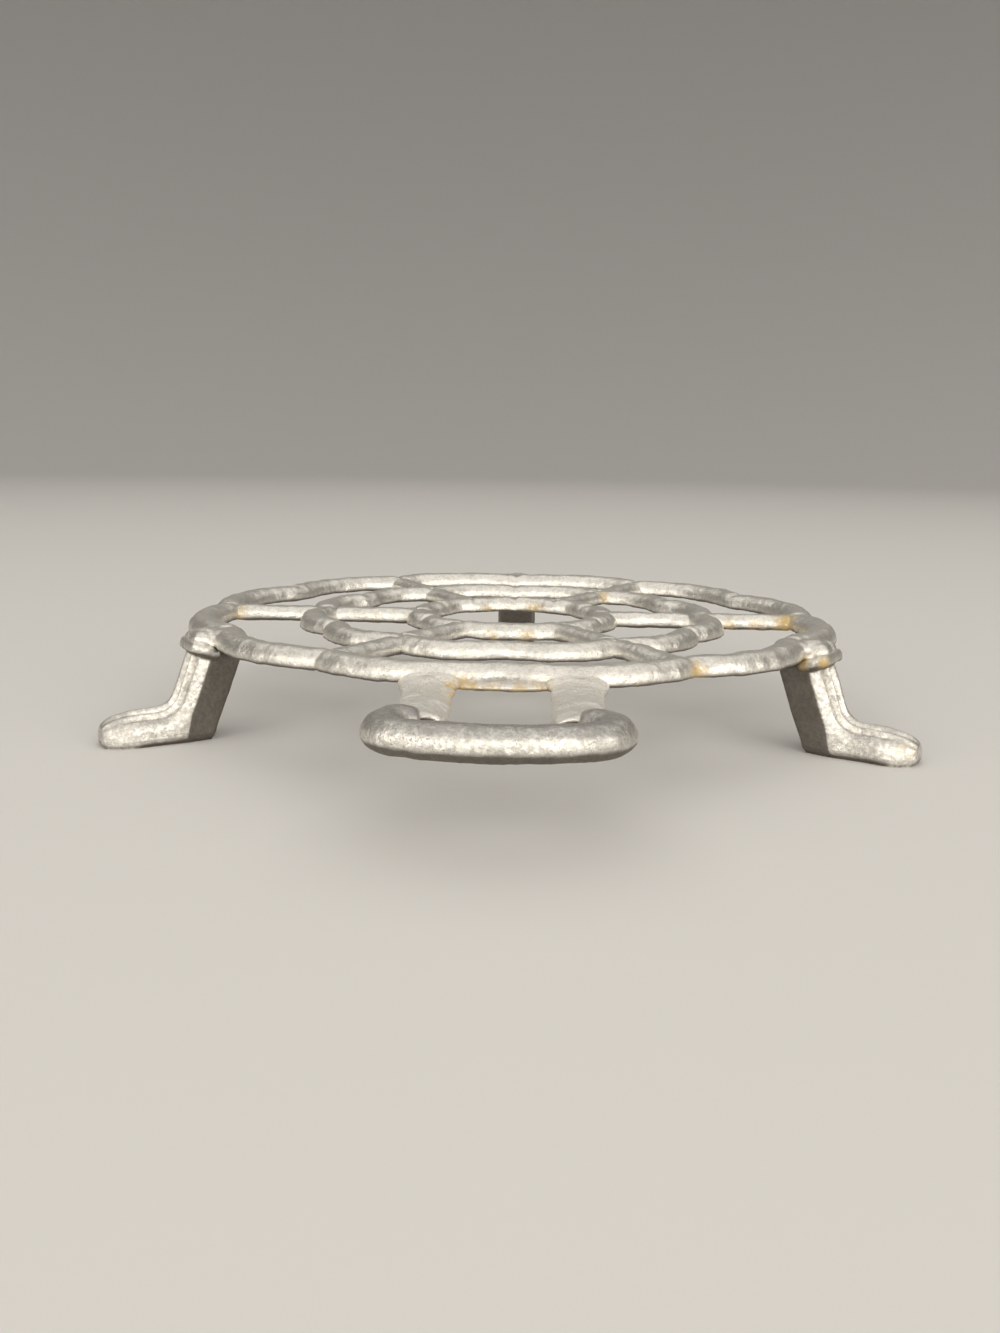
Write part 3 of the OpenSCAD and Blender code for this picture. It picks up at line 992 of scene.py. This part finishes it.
def residue_and_shade_group():
    """Break up the stains, the soiling in seams and the soiling and painted shade in hollows, so that they
    end raggedly.
    """
    group, given, put = new_group(
        "stove_residue_and_shade", {"Stain": 0.0, "Seam": 0.0, "Hollow": 0.0, "Seam Dirt": 0.5}, ("Amber", "Grime And Shade")
    )
    ragged = grain(group, RAGGED_SIZE, 4, 0.7)
    specks = grain(group, RESIDUE_SPECK_SIZE, 2, 0.6)
    broken = weighted(group, (ragged, 1.3), (specks, 0.5))
    amber = remap(group, calculate(group, "ADD", given["Stain"], broken), 1.22, 1.75)
    seam = calculate(group, "MULTIPLY", given["Seam"], given["Seam Dirt"])
    # Soiling in seams, plus painted shade in hollows
    dirt_and_shade = calculate(group, "ADD", seam, given["Hollow"])
    grime_and_shade = remap(group, calculate(group, "ADD", dirt_and_shade, broken), 1.25, 2.2)
    group.links.new(amber, put["Amber"])
    group.links.new(grime_and_shade, put["Grime And Shade"])
    return group


CASTING_SKIN = casting_skin_group()
STOVE_RESIDUE_AND_SHADE = residue_and_shade_group()
SILVER = (0.86, 0.835, 0.78, 1)
TARNISH = (0.55, 0.53, 0.495, 1)
# Painted shade for the upper side of the handle loop
LOOP_TOP_SHADE_GREY = (0.4, 0.39, 0.375, 1)
PIT_DARK = (0.24, 0.22, 0.19, 1)
# Painted shade for undersides and the legs' inner faces
SHADE_BELOW_AND_INSIDE_COLOUR = (0.165, 0.148, 0.128, 1)
# Soiling, and painted shade in hollows
GRIME_AND_SHADE_COLOUR = (0.17, 0.145, 0.11, 1)
AMBER = (0.5, 0.345, 0.115, 1)


def plated_metal(name, pit_share, tarnish, roughness, seam_dirt, bare=1.0):
    """Worn silvery plating with pits, tarnish, amber stains, soiling in seams, soiling and painted shade in
    hollows, and painted shade on undersides, on the legs' inner faces and on the handle loop's top; bare is
    how metallic it is.
    """
    metal = bpy.data.materials.new(name)
    metal.use_nodes = True
    tree = metal.node_tree
    shader = tree.nodes["Principled BSDF"]
    value = {}
    for label in ("hollow", "seam", "stain", "shade_below_and_inside", "top_shade"):
        value[label] = add_node(tree, "ShaderNodeAttribute", {}, attribute_name=label).outputs["Fac"]
    skin = add_node(tree, "ShaderNodeGroup", {}, node_tree=CASTING_SKIN)
    skin.inputs["Pit Share"].default_value = pit_share
    residue_and_shade = add_node(tree, "ShaderNodeGroup", {}, node_tree=STOVE_RESIDUE_AND_SHADE)
    residue_and_shade.inputs["Seam Dirt"].default_value = seam_dirt
    tree.links.new(value["stain"], residue_and_shade.inputs["Stain"])
    tree.links.new(value["seam"], residue_and_shade.inputs["Seam"])
    tree.links.new(value["hollow"], residue_and_shade.inputs["Hollow"])
    amber = residue_and_shade.outputs["Amber"]
    grime_and_shade = residue_and_shade.outputs["Grime And Shade"]
    clouds = calculate(tree, "MULTIPLY", skin.outputs["Tarnish"], tarnish)
    colour = blend(tree, clouds, SILVER, TARNISH)
    mottled = remap(tree, skin.outputs["Tarnish"], -0.6, 0.9)
    # Painted shade greys the upper side of the handle loop
    colour = blend(tree, calculate(tree, "MULTIPLY", value["top_shade"], mottled), colour, LOOP_TOP_SHADE_GREY)
    # Then pits, painted shade on undersides and the legs' inner faces, soiling with painted shade in
    # hollows, and amber stains
    layers = (
        (skin.outputs["Pits"], 0.8, PIT_DARK),
        (value["shade_below_and_inside"], 0.93, SHADE_BELOW_AND_INSIDE_COLOUR),
        (grime_and_shade, 0.7, GRIME_AND_SHADE_COLOUR),
        (amber, 0.9, AMBER),
    )
    for mask, share, tint in layers:
        colour = blend(tree, calculate(tree, "MULTIPLY", mask, share), colour, tint)
    tree.links.new(colour, shader.inputs["Base Color"])
    dull = weighted(tree, (clouds, 0.18), (value["shade_below_and_inside"], 0.2), (skin.outputs["Pits"], 0.15))
    tree.links.new(calculate(tree, "ADD", dull, roughness), shader.inputs["Roughness"])
    covered = weighted(tree, (amber, 0.8), (grime_and_shade, 0.5))
    tree.links.new(calculate(tree, "SUBTRACT", bare, covered, clamp=True), shader.inputs["Metallic"])
    relief = {"Height": skin.outputs["Height"], "Strength": 0.6, "Distance": SAND_HEIGHT}
    bump = add_node(tree, "ShaderNodeBump", relief)
    tree.links.new(bump.outputs["Normal"], shader.inputs["Normal"])
    return metal


# Share of pits, tarnish, roughness and dirt in the seams
GRILLE_METAL = plated_metal("grille_plating", 0.6, 0.8, 0.29, 0.3)
FINISHES = {
    "handle_loop": plated_metal("loop_plating", 1.0, 1.35, 0.28, 0.12),
    "handle_lug": plated_metal("lug_plating", 1.0, 0.45, 0.36, 0.15, bare=0.85),
    "leg": plated_metal("leg_plating", 0.7, 1.4, 0.28, 0.4),
}
for node, piece in pieces.items():
    piece.data.materials.clear()
    piece.data.materials.append(pick(FINISHES, node, GRILLE_METAL))

# Stage: a round pale floor that sweeps up into a wall
FLOOR_R = 3.0
WALL_HEIGHT = 3.0
WALL_SWEEP = 1.4
FLOOR_SIDES = 96
FLOOR_BORDER = 0.05
FLOOR_COLOUR = (0.62, 0.61, 0.595, 1)
WORLD_COLOUR = (0.22, 0.224, 0.23, 1)
SOFTBOX_COLOUR = (1.0, 0.95, 0.865)
deselect_all()
bpy.ops.mesh.primitive_circle_add(vertices=FLOOR_SIDES, radius=FLOOR_R, fill_type="NGON")
floor = name_new("floor")
edit(floor)
select_verts(lambda co: co.length > FLOOR_R - 0.01)
bpy.ops.mesh.extrude_edges_move(TRANSFORM_OT_translate={"value": (0, 0, WALL_HEIGHT)})
select_verts(lambda co: co.z < 0.01)
bpy.ops.mesh.region_to_loop()
bpy.ops.mesh.bevel(offset=WALL_SWEEP, segments=24, affect="EDGES")
select_verts(lambda co: co.z < 0.001)
bpy.ops.mesh.inset(thickness=FLOOR_BORDER)
bpy.ops.mesh.select_all(action="SELECT")
bpy.ops.mesh.normals_make_consistent(inside=True)
leave_edit()
bpy.ops.object.shade_smooth()
pale = bpy.data.materials.new("pale_floor")
pale.use_nodes = True
pale_shader = pale.node_tree.nodes["Principled BSDF"]
pale_shader.inputs["Base Color"].default_value = FLOOR_COLOUR
pale_shader.inputs["Roughness"].default_value = 0.8
pale_shader.inputs["Specular IOR Level"].default_value = 0.2
floor.data.materials.append(pale)

scene = bpy.context.scene
scene.view_settings.view_transform = "Standard"
world = bpy.data.worlds.new("studio")
world.use_nodes = True
world.node_tree.nodes["Background"].inputs["Color"].default_value = WORLD_COLOUR
world.node_tree.nodes["Background"].inputs["Strength"].default_value = 1.0
scene.world = world


def softbox(name, place, aim, size, power):
    """A rectangular lamp of a size in metres and a power in watts."""
    light = bpy.data.lights.new(name, "AREA")
    light.shape = "RECTANGLE"
    light.size = size[0]
    light.size_y = size[1]
    light.energy = power
    light.color = SOFTBOX_COLOUR
    lamp = bpy.data.objects.new(name, light)
    bpy.context.collection.objects.link(lamp)
    lamp.location = place
    lamp.rotation_mode = "QUATERNION"
    lamp.rotation_quaternion = (Vector(aim) - Vector(place)).to_track_quat("-Z", "Y")


softbox("front_softbox", (0.05, -1.3, 0.55), WEB, (2.0, 1.0), 11)
softbox("left_softbox", (-1.15, -0.85, 0.55), WEB, (1.4, 1.0), 7)
softbox("right_softbox", (1.15, -0.85, 0.55), WEB, (1.4, 1.0), 8.5)
softbox("upper_softbox", (0.05, 0.15, 1.25), (0.05, 0.15, 0), (2.6, 2.8), 18)

# Camera, fitted to the photograph
PHOTO = (1000, 1333)
FOCAL_PX = 1161.7
EYE_DISTANCE = 279.2 * MM
EYE_ABOVE = math.radians(8.906)
EYE_TURN = 0.018
AIM_PX = (512.0, 620.9)
ROLL = 0.0169
AIM_Z = 20.1 * MM

aim = Vector((WEB.x, WEB.y, AIM_Z))
back = Vector((0, -math.cos(EYE_ABOVE), math.sin(EYE_ABOVE)))
back.rotate(Euler((0, 0, EYE_TURN)))
lens = bpy.data.cameras.new("photo_camera")
lens.sensor_fit = "VERTICAL"
lens.sensor_height = 36
lens.lens = FOCAL_PX * lens.sensor_height / PHOTO[1]
lens.clip_start = 0.01
camera = bpy.data.objects.new("photo_camera", lens)
bpy.context.collection.objects.link(camera)
camera.location = aim + back * EYE_DISTANCE
pan = math.atan((AIM_PX[0] - PHOTO[0] / 2) / FOCAL_PX)
tilt = math.atan((AIM_PX[1] - PHOTO[1] / 2) / FOCAL_PX)
camera.rotation_mode = "QUATERNION"
look = (-back).to_track_quat("-Z", "Y")
camera.rotation_quaternion = look @ Euler((tilt, pan, ROLL)).to_quaternion()
scene.camera = camera
